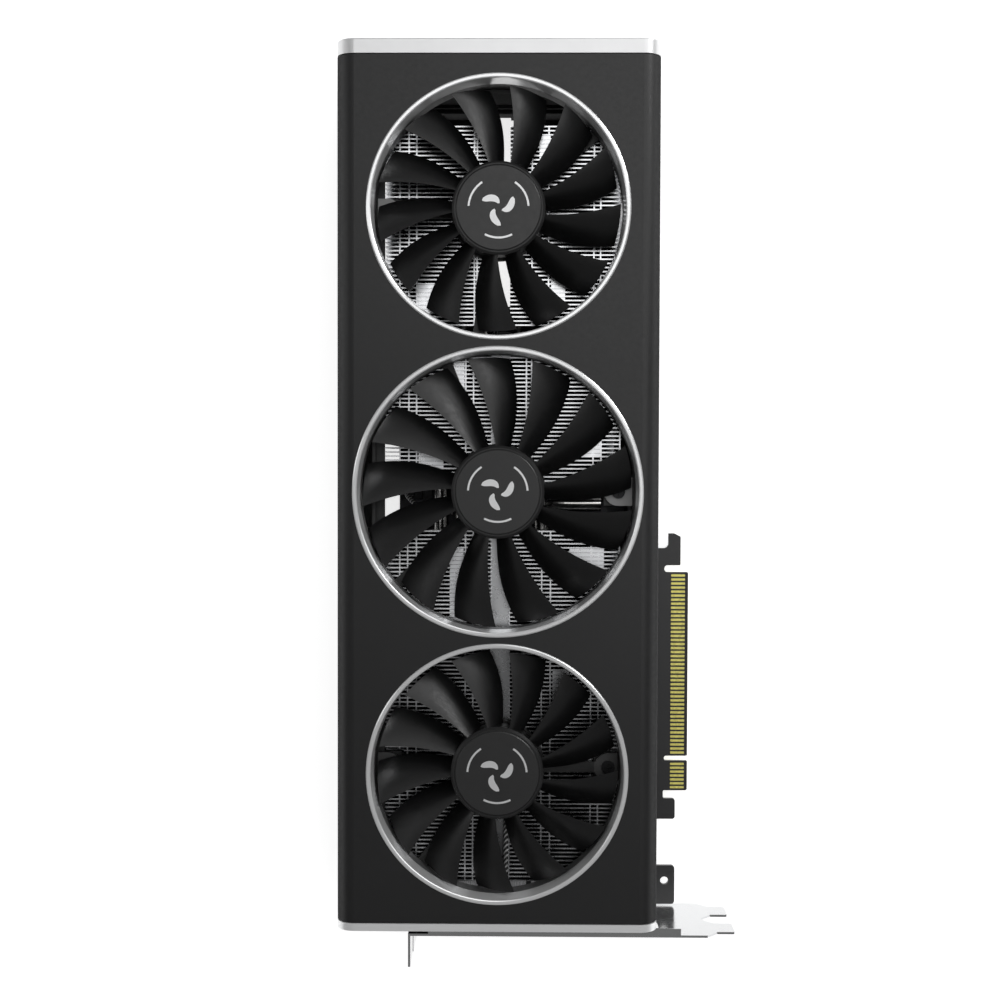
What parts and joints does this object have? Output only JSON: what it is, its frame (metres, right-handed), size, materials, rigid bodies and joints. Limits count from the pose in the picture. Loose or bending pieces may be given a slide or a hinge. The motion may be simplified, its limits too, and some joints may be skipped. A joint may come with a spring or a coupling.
{
  "type": "graphics card",
  "caption": "Long two-slot-bracket graphics card with spinning axial fans in a rounded shroud, fin stacks on heat pipes, edge connector and slotted steel bracket.",
  "frame": {"origin": "on the backplate's outer face, under the middle fan's axis", "axes": "+X towards the edge connector, +Y along the card away from the bracket, +Z out of the fan side"},
  "size_m": [0.1452, 0.334, 0.0575],
  "materials": {
    "shroud_plastic": "satin black",
    "silver_trim": "satin silver",
    "fan_plastic": "satin black",
    "badge_plastic": "satin dark grey",
    "frame_plastic": "moulded dark grey",
    "magnet": "dark sintered",
    "polished_steel": "polished",
    "motor_core": "laminated steel with copper windings",
    "bronze": "sintered bronze",
    "black_screw": "black oxide",
    "fin_aluminium": "bare aluminium",
    "nickel_copper": "nickel plated",
    "regulator_metal": "black anodised",
    "board_laminate": "black solder mask",
    "gold_contact": "gold plated",
    "chip_epoxy": "moulded epoxy",
    "silicon": "polished silicon",
    "thermal_pad": "soft grey pad",
    "socket_plastic": "moulded black",
    "lead_rubber": "black lead",
    "port_steel": "stamped steel",
    "bracket_steel": "polished steel sheet",
    "backplate_metal": "black powder coat"
  },
  "bodies": {
    "card": {"fan_shroud": "shroud_plastic", "shroud_walls": "shroud_plastic", "fan_ducts": "shroud_plastic", "air_guides": "shroud_plastic", "end_cap_far": "silver_trim", "end_cap_io": "silver_trim", "fan_bearings": "bronze", "fan_screws": "black_screw", "fan_leads": "lead_rubber", "fan_sockets": "socket_plastic", "heatsink_fins_far": "fin_aluminium", "heatsink_fins_mid": "fin_aluminium", "heatsink_fins_io": "fin_aluminium", "heat_pipes": "nickel_copper", "cold_plate": "nickel_copper", "regulator_plate": "regulator_metal", "circuit_board": "board_laminate", "edge_contacts": "gold_contact", "gpu_package": "chip_epoxy", "gpu_die": "silicon", "memory_chips": "chip_epoxy", "thermal_pads": "thermal_pad", "vrm_chokes": "chip_epoxy", "vrm_transistors": "chip_epoxy", "capacitors": "polished_steel", "power_socket_1": "socket_plastic", "power_socket_2": "socket_plastic", "power_pins": "gold_contact", "video_socket_narrow": "port_steel", "video_sockets_wide": "port_steel", "socket_tongues": "socket_plastic", "slot_bracket": "bracket_steel", "bracket_screws": "black_screw", "backplate": "backplate_metal", "backplate_screws": "black_screw", "shroud_screws": "black_screw", "clamp_plate": "polished_steel", "clamp_washers": "polished_steel", "clamp_screws": "polished_steel", "fan_bezel_far": "silver_trim", "fan_frame_far": "frame_plastic", "motor_stator_far": "motor_core", "fan_bezel_mid": "silver_trim", "fan_frame_mid": "frame_plastic", "motor_stator_mid": "motor_core", "fan_bezel_io": "silver_trim", "fan_frame_io": "frame_plastic", "motor_stator_io": "motor_core"},
    "fan_far": {"fan_rotor_far": "fan_plastic", "hub_badge_far": "badge_plastic", "rotor_magnet_far": "magnet", "fan_shaft_far": "polished_steel"},
    "fan_mid": {"fan_rotor_mid": "fan_plastic", "hub_badge_mid": "badge_plastic", "rotor_magnet_mid": "magnet", "fan_shaft_mid": "polished_steel"},
    "fan_io": {"fan_rotor_io": "fan_plastic", "hub_badge_io": "badge_plastic", "rotor_magnet_io": "magnet", "fan_shaft_io": "polished_steel"}
  },
  "joints": [
    {"name": "fan_far_spin", "type": "hinge", "parent": "card", "child": "fan_far", "pos_m": [0, 0.1002, 0.05], "axis": [0, 0, 1], "continuous": true},
    {"name": "fan_mid_spin", "type": "hinge", "parent": "card", "child": "fan_mid", "pos_m": [0, 0, 0.05], "axis": [0, 0, 1], "continuous": true},
    {"name": "fan_io_spin", "type": "hinge", "parent": "card", "child": "fan_io", "pos_m": [0, -0.1002, 0.05], "axis": [0, 0, 1], "continuous": true}
  ]
}
